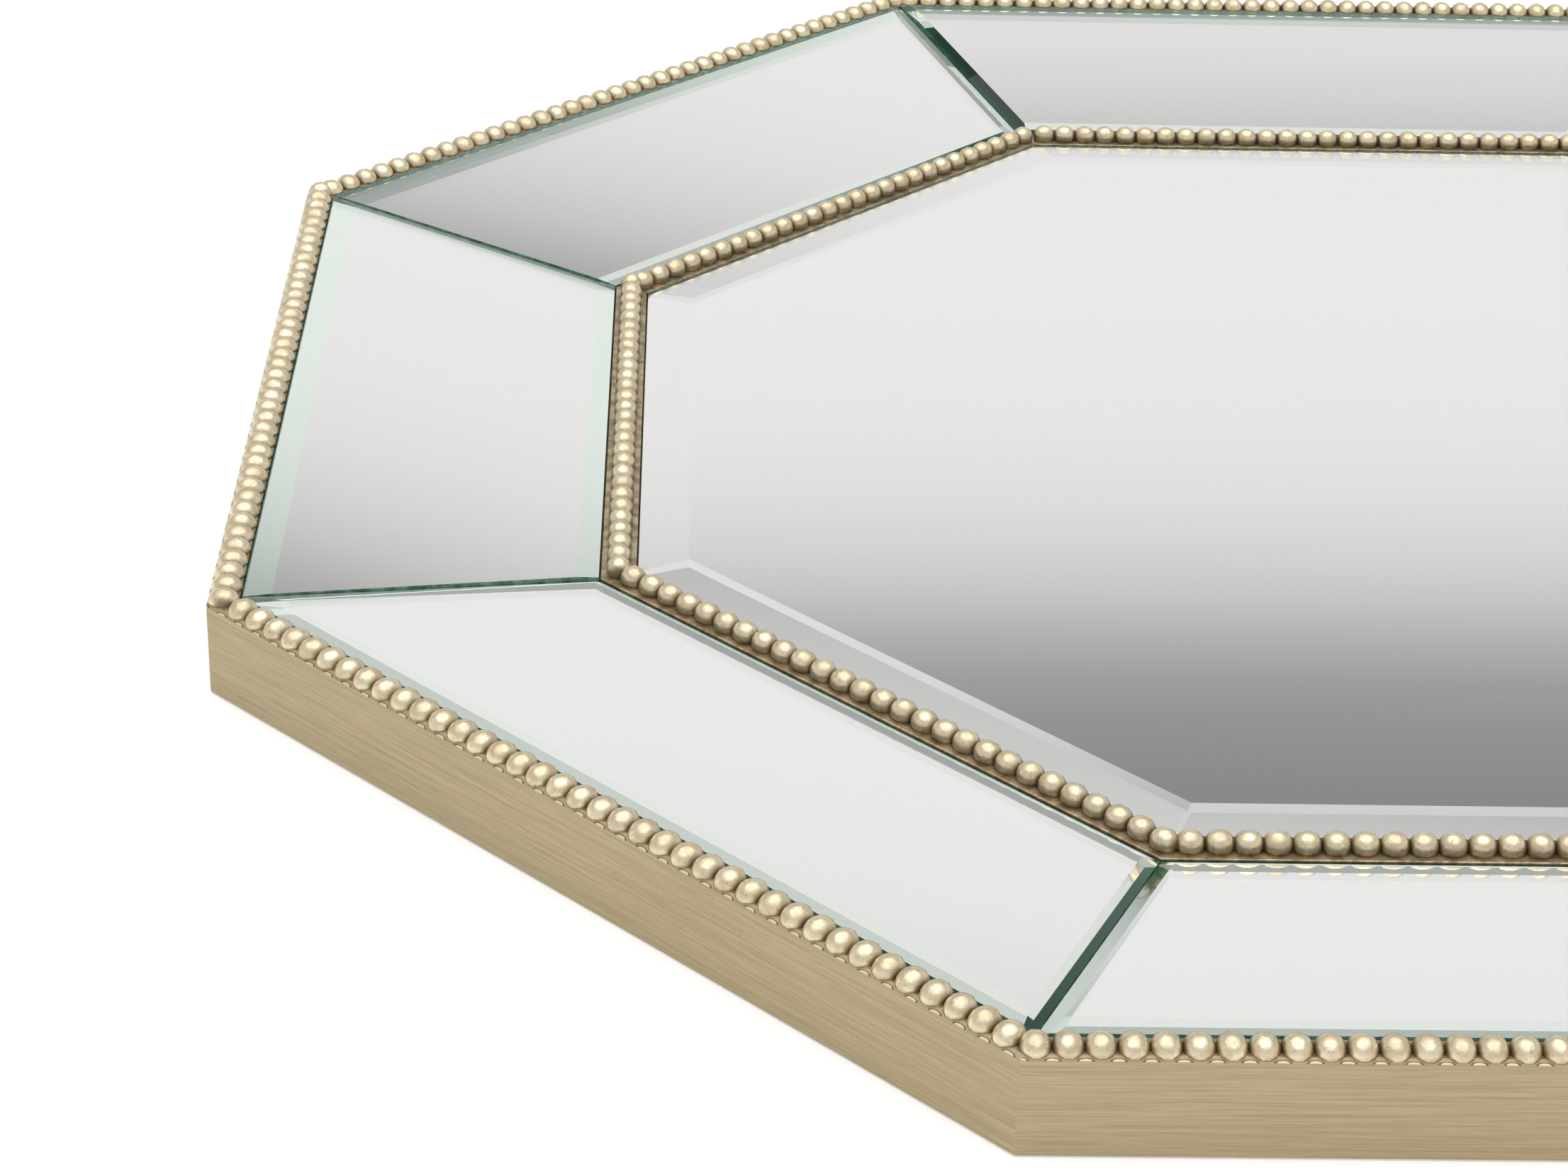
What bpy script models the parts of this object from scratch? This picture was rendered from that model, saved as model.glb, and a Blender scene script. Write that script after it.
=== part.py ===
"""Octagonal mirrored vanity tray: a beaded frame, a dished ring of bevelled mirrors and a flat centre mirror.

The tray lies flat, +Z up, with its origin on the surface it stands on, under its centre. Sides are numbered
from 1, the side that faces -Y, anticlockwise seen from above. Every repeated piece is modelled once for
side 1 and turned about Z to the other sides.
"""
from math import cos, pi, radians, sin, tan

import bmesh
import bpy
from mathutils import Matrix, Vector

# ---- driving dimensions, in metres -------------------------------------------------------------------------
MM = 0.001
SIDES = 8
GAP = 0.3 * MM                      # clearance between neighbouring pieces
CUT_TOLERANCE = 0.0001 * MM

BEAD_PITCH = 4.8 * MM
BEAD_RADIUS = 2.4 * MM
BEAD_WAIST = 1.5 * MM               # radius between two beads
BEAD_SHOULDER = radians(35)         # where a coarse bead's upright side turns into its top
BEAD_FOOT_DEPTH = 1.0 * MM          # the beads' foot, below the top of the moulding
OUTER_BEADS = 39                    # bead pitches along one side of the frame
INNER_BEADS = 27                    # bead pitches along one side of the inner octagon

FELT_THICKNESS = 1.0 * MM
RAIL_FOOT = 0.3 * MM                # the rails stop just above the surface, and the felt touches it
BOARD_THICKNESS = 5.0 * MM
GLASS_THICKNESS = 2.0 * MM

WALL_OUTSIDE_BEADS = 2.3 * MM       # outer wall of the frame, outside the bead line
RAIL_LIP = 3.4 * MM                 # bead line to the inner edge of the rail's top
RAIL_TOP = 17.5 * MM
RAIL_BEAD_HEIGHT = 17.8 * MM        # height of the beads' middles on the frame
RAIL_BEAD_INSET = 0.7 * MM          # and their place, inside the bead line
RAIL_BEAD_SHAPE = (1.23, 1.08)      # how much wider and taller the frame's beads are than a round bead
RAIL_SHELF_INSET = 214.0 * MM       # apothem of the shelf's inner face

STRIP_HALF_WIDTH = 3.3 * MM
STRIP_TOP = 8.9 * MM
STRIP_BEAD_HEIGHT = 10.05 * MM

RING_RIM_BEVEL = (5.0 * MM, 0.25 * MM)      # width and fall of the broad bevel along the frame
RING_BEVEL = (2.6 * MM, 0.95 * MM)          # and of a ring mirror's other bevels
RING_OUTER_HEIGHT = 17.9 * MM       # front plane of a ring mirror at its outer edge
RING_INNER_HEIGHT = 9.45 * MM       # and at its inner edge

CENTRE_TOP = 9.6 * MM
CENTRE_BEVEL = (9.4 * MM, 0.66 * MM)
PAD_INSET = 4.0 * MM                # edge of the foam pad, inside the centre mirror's edge

SPLINE_LENGTH = 14.0 * MM
SPLINE_DEPTH = 7.0 * MM
SPLINE_THICKNESS = 2.4 * MM
SPLINE_HEIGHT = 9.2 * MM            # underside of the spline
SPLINE_OUTSIDE_SHELF = 5.6 * MM     # spline's middle, outside the shelf's inner face
SPLINE_EASING = 1.2 * MM            # easing of the spline's upright edges

SCREW_SHANK_RADIUS = 1.5 * MM
SCREW_HEAD_RADIUS = 2.8 * MM
SCREW_HEAD_HEIGHT = 1.6 * MM
SCREW_TIP = 13.0 * MM
SCREW_TIP_RADIUS = 0.4 * MM
SCREW_SEGMENTS = 12

# ---- dimensions that follow ---------------------------------------------------------------------------------
HALF_ANGLE = pi / SIDES
SLOPE = tan(HALF_ANGLE)             # half a side's length, for an apothem of one
OUTER_BEAD_LINE = OUTER_BEADS * BEAD_PITCH / (2 * SLOPE)
INNER_BEAD_LINE = INNER_BEADS * BEAD_PITCH / (2 * SLOPE)
WALL_APOTHEM = OUTER_BEAD_LINE + WALL_OUTSIDE_BEADS
RAIL_INNER = OUTER_BEAD_LINE - RAIL_LIP
BOARD_BOTTOM = FELT_THICKNESS + GAP
BOARD_TOP = BOARD_BOTTOM + BOARD_THICKNESS
BOARD_APOTHEM = RAIL_INNER - GAP
DECK = BOARD_TOP + GAP              # underside of everything glued to the board
RING_OUTER = RAIL_INNER - GAP
RING_INNER = INNER_BEAD_LINE + STRIP_HALF_WIDTH + GAP
CENTRE_APOTHEM = INNER_BEAD_LINE - STRIP_HALF_WIDTH - GAP
CENTRE_BOTTOM = CENTRE_TOP - GLASS_THICKNESS
SCREW_APOTHEM = (RAIL_SHELF_INSET + RAIL_INNER) / 2


def ring_height(apothem):
    """Height of the ring mirrors' front plane at a distance from the tray's axis."""
    rise = (RING_OUTER_HEIGHT - RING_INNER_HEIGHT) / (RING_OUTER - RING_INNER)
    return RING_INNER_HEIGHT + rise * (apothem - RING_INNER)


def bed_height(apothem):
    """Height of the surface that the ring mirrors lie on, one gap under the glass."""
    return ring_height(apothem) - GLASS_THICKNESS - GAP


# ---- materials ----------------------------------------------------------------------------------------------
FINISHES = {                        # base colour, roughness, metallic
    "champagne_leaf": ((0.46, 0.39, 0.28), 0.42, 0.75),
    "mirror_glass": ((0.86, 0.88, 0.86), 0.04, 1.0),
    "fibreboard": ((0.33, 0.22, 0.13), 0.85, 0.0),
    "hardwood": ((0.50, 0.34, 0.19), 0.65, 0.0),
    "foam_pad": ((0.05, 0.05, 0.05), 0.95, 0.0),
    "felt": ((0.06, 0.035, 0.025), 1.0, 0.0),
    "zinc_steel": ((0.62, 0.60, 0.55), 0.35, 1.0),
}


def finish(name):
    """Return the named material, made on its first use."""
    if name in bpy.data.materials:
        return bpy.data.materials[name]
    colour, roughness, metallic = FINISHES[name]
    material = bpy.data.materials.new(name)
    material.use_nodes = True
    shader = material.node_tree.nodes["Principled BSDF"]
    shader.inputs["Base Color"].default_value = (*colour, 1.0)
    shader.inputs["Roughness"].default_value = roughness
    shader.inputs["Metallic"].default_value = metallic
    return material


# ---- mesh helpers -------------------------------------------------------------------------------------------
def mesh_from(bm, name):
    """Turn a bmesh into mesh data with its faces pointing out."""
    bmesh.ops.recalc_face_normals(bm, faces=bm.faces)
    mesh = bpy.data.meshes.new(name)
    bm.to_mesh(mesh)
    bm.free()
    return mesh


def place(name, mesh, material, turn=0.0):
    """Add a named object that shows a mesh, turned about Z."""
    if not mesh.materials:
        mesh.materials.append(finish(material))
    piece = bpy.data.objects.new(name, mesh)
    piece.rotation_euler.z = turn
    bpy.context.scene.collection.objects.link(piece)
    return piece


def place_round(name, mesh, material):
    """Place one copy of a mesh on each side of the octagon."""
    for side in range(SIDES):
        place(f"{name}_{side + 1}", mesh, material, turn=side * 2 * HALF_ANGLE)


def helper(name, mesh):
    """Add a cutter or another building aid, which is not a piece of the tray."""
    aid = bpy.data.objects.new(name, mesh)
    aid.hide_render = True
    aid.display_type = "WIRE"
    bpy.context.scene.collection.objects.link(aid)
    return aid


def combined(mesh, others, operation, name):
    """Return the mesh joined with or cut by other meshes, through Boolean modifiers."""
    base = helper(name + "_blank", mesh)
    aids = [base]
    for index, other in enumerate(others):
        tool = helper(f"{name}_tool_{index}", other)
        modifier = base.modifiers.new(f"{operation.lower()}_{index}", "BOOLEAN")
        modifier.operation = operation
        modifier.solver = "EXACT"
        modifier.object = tool
        aids.append(tool)
    bpy.context.view_layer.update()
    graph = bpy.context.evaluated_depsgraph_get()
    result = bpy.data.meshes.new_from_object(base.evaluated_get(graph))
    result.name = name
    result.materials.clear()
    for aid in aids:
        bpy.data.objects.remove(aid)
    return result


def lofted(sections):
    """Close a solid over a row of equal-length sections, each a list of points."""
    bm = bmesh.new()
    rings = [[bm.verts.new(point) for point in section] for section in sections]
    for first, second in zip(rings, rings[1:]):
        for here in range(len(first)):
            after = (here + 1) % len(first)
            bm.faces.new((first[here], first[after], second[after], second[here]))
    bm.faces.new(rings[0])
    bm.faces.new(reversed(rings[-1]))
    return bm


def box(centre, size, turn=0.0):
    """Mesh of a box, turned about Z around its own centre."""
    bm = bmesh.new()
    place_at = Matrix.Translation(centre) @ Matrix.Rotation(turn, 4, "Z")
    bmesh.ops.create_cube(bm, size=1.0, matrix=place_at @ Matrix.Diagonal((*size, 1.0)))
    return mesh_from(bm, "box")


def mitred(mesh, name):
    """Cut a straight bar on side 1 to length at both mitres and close its ends."""
    bm = bmesh.new()
    bm.from_mesh(mesh)
    for end in (-1, 1):
        outward = Vector((end * cos(HALF_ANGLE), sin(HALF_ANGLE), 0.0))
        geometry = bm.verts[:] + bm.edges[:] + bm.faces[:]
        bmesh.ops.bisect_plane(bm, geom=geometry, dist=1e-7, plane_co=outward * (-GAP / 2),
                               plane_no=outward, clear_outer=True)
        open_edges = [edge for edge in bm.edges if edge.is_boundary]
        bmesh.ops.holes_fill(bm, edges=open_edges, sides=0)
    return mesh_from(bm, name)


def bar(profile, half_length):
    """Straight bar along X with a closed profile of (apothem, height) points, on side 1."""
    return lofted([[(x, -apothem, height) for apothem, height in profile] for x in (-half_length, half_length)])


def mitred_bar(profile, name):
    """Bar with mitred ends, whose profile is a list of (apothem, height) points."""
    sections = []
    for end in (-1, 1):
        sections.append([(end * mitre_end(apothem), -apothem, height) for apothem, height in profile])
    return mesh_from(lofted(sections), name)


def mitre_end(apothem):
    """Half length of a piece at an apothem, short of the mitre by half a gap."""
    return apothem * SLOPE - GAP / 2 / cos(HALF_ANGLE)


def bead_run(bead_line, height, foot, pitches, shape=(1.0, 1.0)):
    """Row of coarse beads along side 1 that runs past both mitres; its foot sits inside the moulding."""
    across, upwards = shape
    steps = pitches + 4
    sections = []
    for index in range(-steps, steps + 1):
        crest = (index + pitches) % 2 == 0
        radius = BEAD_RADIUS if crest else BEAD_WAIST
        along = index * BEAD_PITCH / 2
        shoulder = radius * cos(BEAD_SHOULDER) * across
        top = height + radius * sin(BEAD_SHOULDER) * upwards
        sections.append([(along, -bead_line - shoulder, foot), (along, -bead_line - shoulder, top),
                         (along, -bead_line, height + radius * upwards),
                         (along, -bead_line + shoulder, top), (along, -bead_line + shoulder, foot)])
    return mesh_from(lofted(sections), "bead_run")


def octagon_ring(apothem, height):
    """The eight corners of an octagon at a height."""
    corner = apothem / cos(HALF_ANGLE)
    angles = [(2 * index + 1) * HALF_ANGLE for index in range(SIDES)]
    return [(corner * cos(angle), corner * sin(angle), height) for angle in angles]


def bevelled_sheet(corners, bevels, front):
    """Sheet of glass with a bevel along each edge.

    The corners run anticlockwise from above, each bevel is the (width, fall) of the edge that starts at its
    corner, and front gives the height of the front plane at an apothem of side 1.
    """
    places = [Vector(corner) for corner in corners]

    def point(place, depth):
        """Point at a depth below the front plane."""
        return Vector((place.x, place.y, front(-place.y) - depth))

    bm = lofted([[point(place, depth) for place in places] for depth in (GLASS_THICKNESS, 0.0)])
    for index, (width, fall) in enumerate(bevels):
        start, end = places[index], places[(index + 1) % len(places)]
        inwards = (end - start).normalized().orthogonal()
        rim = point(start, fall)
        normal = (point(end, fall) - rim).cross(point(start + inwards * width, 0.0) - rim)
        cut = bmesh.ops.bisect_plane(bm, geom=[*bm.verts, *bm.edges, *bm.faces], dist=CUT_TOLERANCE,
                                     plane_co=rim, plane_no=normal, clear_outer=True)
        edges = [item for item in cut["geom_cut"] if isinstance(item, bmesh.types.BMEdge)]
        bmesh.ops.holes_fill(bm, edges=edges, sides=0)
    return bm


def cylinder_section(centre, radius, height):
    """Circle of points for a turned solid."""
    angles = [2 * pi * index / SCREW_SEGMENTS for index in range(SCREW_SEGMENTS)]
    return [(centre[0] + radius * cos(angle), centre[1] + radius * sin(angle), height) for angle in angles]


def turned(profile, centre):
    """Solid turned about a vertical axis from (radius, height) points, bottom to top."""
    return lofted([cylinder_section(centre, radius, height) for radius, height in profile])


def screw_profile(clearance):
    """Countersunk screw, head down, as (radius, height) points."""
    head_bottom = BOARD_BOTTOM
    neck = head_bottom + SCREW_HEAD_HEIGHT
    tip = SCREW_TIP + clearance
    return [(SCREW_HEAD_RADIUS + clearance, head_bottom - clearance),
            (SCREW_HEAD_RADIUS + clearance, head_bottom),
            (SCREW_SHANK_RADIUS + clearance, neck + clearance),
            (SCREW_SHANK_RADIUS + clearance, tip - SCREW_SHANK_RADIUS),
            (SCREW_TIP_RADIUS + clearance, tip)]


# ---- pieces -------------------------------------------------------------------------------------------------
def build_frame_rail():
    """One mitred length of the frame moulding: outer wall, bead row, and a shelf for glass and board."""
    profile = [(WALL_APOTHEM, RAIL_FOOT), (WALL_APOTHEM, RAIL_TOP), (RAIL_INNER, RAIL_TOP),
               (RAIL_INNER, bed_height(RAIL_INNER)), (RAIL_SHELF_INSET, bed_height(RAIL_SHELF_INSET)),
               (RAIL_SHELF_INSET, DECK), (RAIL_INNER, DECK), (RAIL_INNER, RAIL_FOOT)]
    blank = mesh_from(bar(profile, WALL_APOTHEM * SLOPE + BEAD_PITCH), "frame_rail")
    beads = bead_run(OUTER_BEAD_LINE - RAIL_BEAD_INSET, RAIL_BEAD_HEIGHT, RAIL_TOP - BEAD_FOOT_DEPTH, OUTER_BEADS,
                     RAIL_BEAD_SHAPE)
    rail = mitred(combined(blank, [beads], "UNION", "frame_rail"), "frame_rail")
    slots = []
    for end in (-1, 1):
        slots.append(box(spline_centre(end), (SPLINE_LENGTH + 2 * GAP, SPLINE_DEPTH + 2 * GAP,
                                              SPLINE_THICKNESS + 2 * GAP), turn=end * HALF_ANGLE))
    pilot = mesh_from(turned(screw_profile(GAP), (0.0, -SCREW_APOTHEM)), "pilot")
    return combined(rail, slots + [pilot], "DIFFERENCE", "frame_rail")


def spline_centre(end):
    """Middle of the spline at one end of side 1."""
    along = (RAIL_SHELF_INSET + SPLINE_OUTSIDE_SHELF) / cos(HALF_ANGLE)
    height = SPLINE_HEIGHT + SPLINE_THICKNESS / 2
    return Vector((end * along * sin(HALF_ANGLE), -along * cos(HALF_ANGLE), height))


def build_corner_spline():
    """Loose hardwood tongue that keys one mitre of the frame."""
    bm = bmesh.new()
    bm.from_mesh(box(spline_centre(1), (SPLINE_LENGTH, SPLINE_DEPTH, SPLINE_THICKNESS), turn=HALF_ANGLE))
    upright = [edge for edge in bm.edges if abs(edge.verts[0].co.z - edge.verts[1].co.z) > SPLINE_THICKNESS / 2]
    bmesh.ops.bevel(bm, geom=upright, offset=SPLINE_EASING, segments=2, affect="EDGES", profile=0.5)
    return mesh_from(bm, "corner_spline")


def build_ring_mirror():
    """Trapezoid mirror with a ground bevel on all four edges, tilted inwards."""
    ends = ((-1, RING_OUTER), (1, RING_OUTER), (1, RING_INNER), (-1, RING_INNER))
    corners = [(end * mitre_end(apothem), -apothem) for end, apothem in ends]
    bevels = (RING_RIM_BEVEL, RING_BEVEL, RING_BEVEL, RING_BEVEL)
    return mesh_from(bevelled_sheet(corners, bevels, ring_height), "ring_mirror")


def build_panel_bed():
    """Tapered bed between the rail's shelf and the bead strip, which sets a ring mirror's tilt."""
    outer = RAIL_SHELF_INSET - GAP
    profile = [(outer, DECK), (outer, bed_height(outer)), (RING_INNER, bed_height(RING_INNER)),
               (RING_INNER, DECK)]
    return mitred_bar(profile, "panel_bed")


def build_bead_strip():
    """Mitred length of the inner beaded moulding."""
    outer = INNER_BEAD_LINE + STRIP_HALF_WIDTH
    inner = INNER_BEAD_LINE - STRIP_HALF_WIDTH
    profile = [(outer, DECK), (outer, STRIP_TOP), (inner, STRIP_TOP), (inner, DECK)]
    blank = mesh_from(bar(profile, outer * SLOPE + BEAD_PITCH), "bead_strip")
    beads = bead_run(INNER_BEAD_LINE, STRIP_BEAD_HEIGHT, STRIP_TOP - BEAD_FOOT_DEPTH, INNER_BEADS)
    return mitred(combined(blank, [beads], "UNION", "bead_strip"), "bead_strip")


def build_centre_mirror():
    """Octagonal mirror with a wide bevel."""
    corners = [corner[:2] for corner in octagon_ring(CENTRE_APOTHEM, 0.0)]
    return mesh_from(bevelled_sheet(corners, [CENTRE_BEVEL] * SIDES, lambda apothem: CENTRE_TOP), "centre_mirror")


def build_slab(name, apothem, bottom, top):
    """Flat octagonal sheet."""
    return mesh_from(lofted([octagon_ring(apothem, bottom), octagon_ring(apothem, top)]), name)


def build_base_board():
    """Board that closes the underside, drilled and countersunk for its screws."""
    board = build_slab("base_board", BOARD_APOTHEM, BOARD_BOTTOM, BOARD_TOP)
    holes = []
    for side in range(SIDES):
        angle = -pi / 2 + side * 2 * HALF_ANGLE
        centre = (SCREW_APOTHEM * cos(angle), SCREW_APOTHEM * sin(angle))
        holes.append(mesh_from(turned(screw_profile(GAP), centre), "hole"))
    return combined(board, holes, "DIFFERENCE", "base_board")


def main():
    """Clear the scene and build every piece of the tray."""
    for old in list(bpy.data.objects):
        bpy.data.objects.remove(old)

    place("felt_underlay", build_slab("felt_underlay", BOARD_APOTHEM, 0.0, FELT_THICKNESS), "felt")
    place("base_board", build_base_board(), "fibreboard")
    pad = build_slab("mirror_pad", CENTRE_APOTHEM - PAD_INSET, DECK, CENTRE_BOTTOM - GAP)
    place("mirror_pad", pad, "foam_pad")
    place("centre_mirror", build_centre_mirror(), "mirror_glass")
    place_round("frame_rail", build_frame_rail(), "champagne_leaf")
    place_round("corner_spline", build_corner_spline(), "hardwood")
    place_round("ring_mirror", build_ring_mirror(), "mirror_glass")
    place_round("panel_bed", build_panel_bed(), "fibreboard")
    place_round("bead_strip", build_bead_strip(), "champagne_leaf")
    screw = mesh_from(turned(screw_profile(0.0)[1:], (0.0, -SCREW_APOTHEM)), "base_screw")
    place_round("base_screw", screw, "zinc_steel")


main()
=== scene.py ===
"""Octagonal mirrored vanity tray in a plain white studio.

The tray is a frame of eight beaded rails, a dished ring of eight bevelled mirrors, an inner octagon of beaded
strips and a flat bevelled mirror in the middle. Sides are numbered from 1, the side that faces -Y,
anticlockwise seen from above. Lengths are in metres.

Places on a moulding are stored on its mesh as the attribute RAIL_PLACE: x in bead pitches from the middle of a
bead, y outwards from the bead line, and z up from the middle of the beads.
"""
import logging
from dataclasses import dataclass, field
from enum import Enum
from math import cos, pi, radians, sin, tan

import bmesh
import bpy
from mathutils import Euler, Matrix, Vector


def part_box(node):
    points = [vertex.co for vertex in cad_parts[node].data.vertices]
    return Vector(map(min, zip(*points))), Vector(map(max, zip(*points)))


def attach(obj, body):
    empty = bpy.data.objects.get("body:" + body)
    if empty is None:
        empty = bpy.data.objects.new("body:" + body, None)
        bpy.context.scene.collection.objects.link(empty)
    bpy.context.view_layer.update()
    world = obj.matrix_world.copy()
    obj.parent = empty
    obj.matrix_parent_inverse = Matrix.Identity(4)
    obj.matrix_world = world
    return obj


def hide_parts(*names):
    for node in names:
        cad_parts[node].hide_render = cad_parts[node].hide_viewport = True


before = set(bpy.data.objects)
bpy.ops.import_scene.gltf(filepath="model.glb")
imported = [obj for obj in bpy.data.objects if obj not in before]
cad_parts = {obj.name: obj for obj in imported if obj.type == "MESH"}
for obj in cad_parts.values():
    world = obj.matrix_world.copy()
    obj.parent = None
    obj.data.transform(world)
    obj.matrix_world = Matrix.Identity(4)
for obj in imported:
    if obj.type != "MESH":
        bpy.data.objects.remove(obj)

log = logging.getLogger("vanity_tray")

MM = 0.001
SIDES = 8
HALF_ANGLE = pi / SIDES
SLOPE = tan(HALF_ANGLE)             # half a side's length, for an apothem of one
BODY = "root"
RAIL_PLACE = "rail_place"
CORNER_START = 0.5                  # where a moulding starts to turn, from 0 mid-side to 1 at the mitre
MERGE_DISTANCE = 1e-7               # points closer than this are one point

Colour = tuple[float, float, float]
Point = tuple[float, float]         # two numbers that belong together, such as a place in plan


class Slot(Enum):
    """Material slots of the record, one given with each new piece."""

    LEAF = "champagne_leaf"
    MIRROR = "mirror_glass"


def turn_of(side: int) -> float:
    """Return the angle about Z from side 1 to another side."""
    return (side - 1) * 2 * HALF_ANGLE


# ---- node tools ---------------------------------------------------------------------------------------------
class NodeBench:
    """A node tree, with short ways to add nodes and to join their sockets."""

    def __init__(self, tree: bpy.types.NodeTree) -> None:
        """Take the tree that the nodes go into."""
        self.tree = tree

    def node(self, kind: str, **settings: object) -> bpy.types.Node:
        """Add a node.

        Args:
            kind: The node's type name.
            settings: Properties to set on it.

        Returns:
            The new node.
        """
        made = self.tree.nodes.new(kind)
        for name, value in settings.items():
            setattr(made, name, value)
        return made

    def feed(self, target: bpy.types.NodeSocket, value: object) -> None:
        """Link a socket into the target, or set the target's own value."""
        if isinstance(value, bpy.types.NodeSocket):
            self.tree.links.new(value, target)
        else:
            target.default_value = value

    def math(self, operation: str, *values: object, clamp: bool = False) -> bpy.types.NodeSocket:
        """Add a Math node, whose inputs are numbers or sockets, and return its output."""
        made = self.node("ShaderNodeMath", operation=operation, use_clamp=clamp)
        for target, value in zip(made.inputs, values):
            self.feed(target, value)
        return made.outputs[0]

    def vector(self, operation: str, *values: object) -> bpy.types.NodeSocket:
        """Add a Vector Math node and return its output."""
        made = self.node("ShaderNodeVectorMath", operation=operation)
        for target, value in zip(made.inputs, values):
            self.feed(target, value)
        return made.outputs[0]

    def fade(self, value: object, low: float, high: float, to_low: float = 0.0,
             to_high: float = 1.0) -> bpy.types.NodeSocket:
        """Map a value smoothly from the range low..high to to_low..to_high, and return the result."""
        made = self.node("ShaderNodeMapRange", interpolation_type="SMOOTHSTEP", clamp=True)
        for name, number in (("Value", value), ("From Min", low), ("From Max", high), ("To Min", to_low),
                             ("To Max", to_high)):
            self.feed(made.inputs[name], number)
        return made.outputs["Result"]

    def mixed(self, factor: object, first: object, second: object) -> bpy.types.NodeSocket:
        """Mix two colours, each a socket or an RGB triple, and return the result."""
        made = self.node("ShaderNodeMix", data_type="RGBA")
        by_name = {socket.identifier: socket for socket in made.inputs}
        self.feed(by_name["Factor_Float"], factor)
        for name, value in (("A_Color", first), ("B_Color", second)):
            self.feed(by_name[name], (*value, 1.0) if isinstance(value, tuple) else value)
        return next(socket for socket in made.outputs if socket.identifier == "Result_Color")

    def noise(self, place: bpy.types.NodeSocket, scale: float, detail: float = 2.0,
              roughness: float = 0.5) -> bpy.types.NodeSocket:
        """Add three-dimensional noise and return its value."""
        made = self.node("ShaderNodeTexNoise")
        self.feed(made.inputs["Vector"], place)
        made.inputs["Scale"].default_value = scale
        made.inputs["Detail"].default_value = detail
        made.inputs["Roughness"].default_value = roughness
        return made.outputs["Fac"]

    def combined(self, x: object, y: object, z: object) -> bpy.types.NodeSocket:
        """Join three numbers or sockets into a vector and return it."""
        made = self.node("ShaderNodeCombineXYZ")
        for target, value in zip(made.inputs, (x, y, z)):
            self.feed(target, value)
        return made.outputs[0]

    def separated(self, vector: bpy.types.NodeSocket) -> bpy.types.bpy_prop_collection:
        """Split a vector and return its X, Y and Z outputs."""
        made = self.node("ShaderNodeSeparateXYZ")
        self.feed(made.inputs[0], vector)
        return made.outputs

    def from_nearest(self, value: bpy.types.NodeSocket) -> bpy.types.NodeSocket:
        """Return how far a value is from the nearest whole number."""
        return self.math("ABSOLUTE", self.math("SUBTRACT", value, self.math("ROUND", value)))

    def levels(self, value: bpy.types.NodeSocket, stops: list[tuple[float, float]]) -> bpy.types.NodeSocket:
        """Turn a value from 0 to 1 into a brightness that runs through the given stops, and return it."""
        ramp = self.node("ShaderNodeValToRGB")
        self.feed(ramp.inputs["Fac"], value)
        elements = ramp.color_ramp.elements
        while len(elements) < len(stops):
            elements.new(0.5)
        for element, (place, bright) in zip(elements, stops):
            element.position = place
            element.color = (bright, bright, bright, 1.0)
        return ramp.outputs["Color"]

    def group(self, tree: bpy.types.NodeTree, **values: object) -> bpy.types.Node:
        """Place a node group; values name its inputs, with _ for a space."""
        made = self.node(self.tree.bl_idname.replace("Tree", "Group"), node_tree=tree)
        for name, value in values.items():
            self.feed(made.inputs[name.replace("_", " ")], value)
        return made


def new_group(name: str, kind: str, inputs: dict[str, tuple[str, object]],
              outputs: dict[str, str]) -> tuple[NodeBench, bpy.types.Node, bpy.types.Node]:
    """Make an empty node group with its sockets.

    Args:
        name: The group's name.
        kind: "ShaderNodeTree" or "GeometryNodeTree".
        inputs: For each input's name, its socket type and its default, or None for no default.
        outputs: For each output's name, its socket type.

    Returns:
        The group's bench, its input node and its output node.
    """
    tree = bpy.data.node_groups.new(name, kind)
    for label, (socket_type, default) in inputs.items():
        socket = tree.interface.new_socket(label, in_out="INPUT", socket_type=socket_type)
        if default is not None:
            socket.default_value = default
    for label, socket_type in outputs.items():
        tree.interface.new_socket(label, in_out="OUTPUT", socket_type=socket_type)
    bench = NodeBench(tree)
    return bench, bench.node("NodeGroupInput"), bench.node("NodeGroupOutput")


# ---- shared effects -----------------------------------------------------------------------------------------
def brushed_streaks() -> bpy.types.NodeTree:
    """Make the group for streaks that a brush leaves along a moulding.

    Returns:
        A group from a place on the moulding to a Mask and a Height, both 0 to 1.
    """
    bench, given, result = new_group(
        "Brushed Streaks", "ShaderNodeTree",
        {"Place": ("NodeSocketVector", None), "Length": ("NodeSocketFloat", 6.0),
         "Width": ("NodeSocketFloat", 0.4 * MM)},
        {"Mask": "NodeSocketFloat", "Height": "NodeSocketFloat"})
    along = bench.math("DIVIDE", 1.0, given.outputs["Length"])
    across = bench.math("DIVIDE", 1.0, given.outputs["Width"])
    place = bench.vector("MULTIPLY", given.outputs["Place"], bench.combined(along, across, across))
    fine = bench.noise(place, 1.0, detail=4.0, roughness=0.65)
    bench.feed(result.inputs["Mask"], bench.fade(fine, 0.3, 0.7))
    bench.feed(result.inputs["Height"], fine)
    return bench.tree


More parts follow.
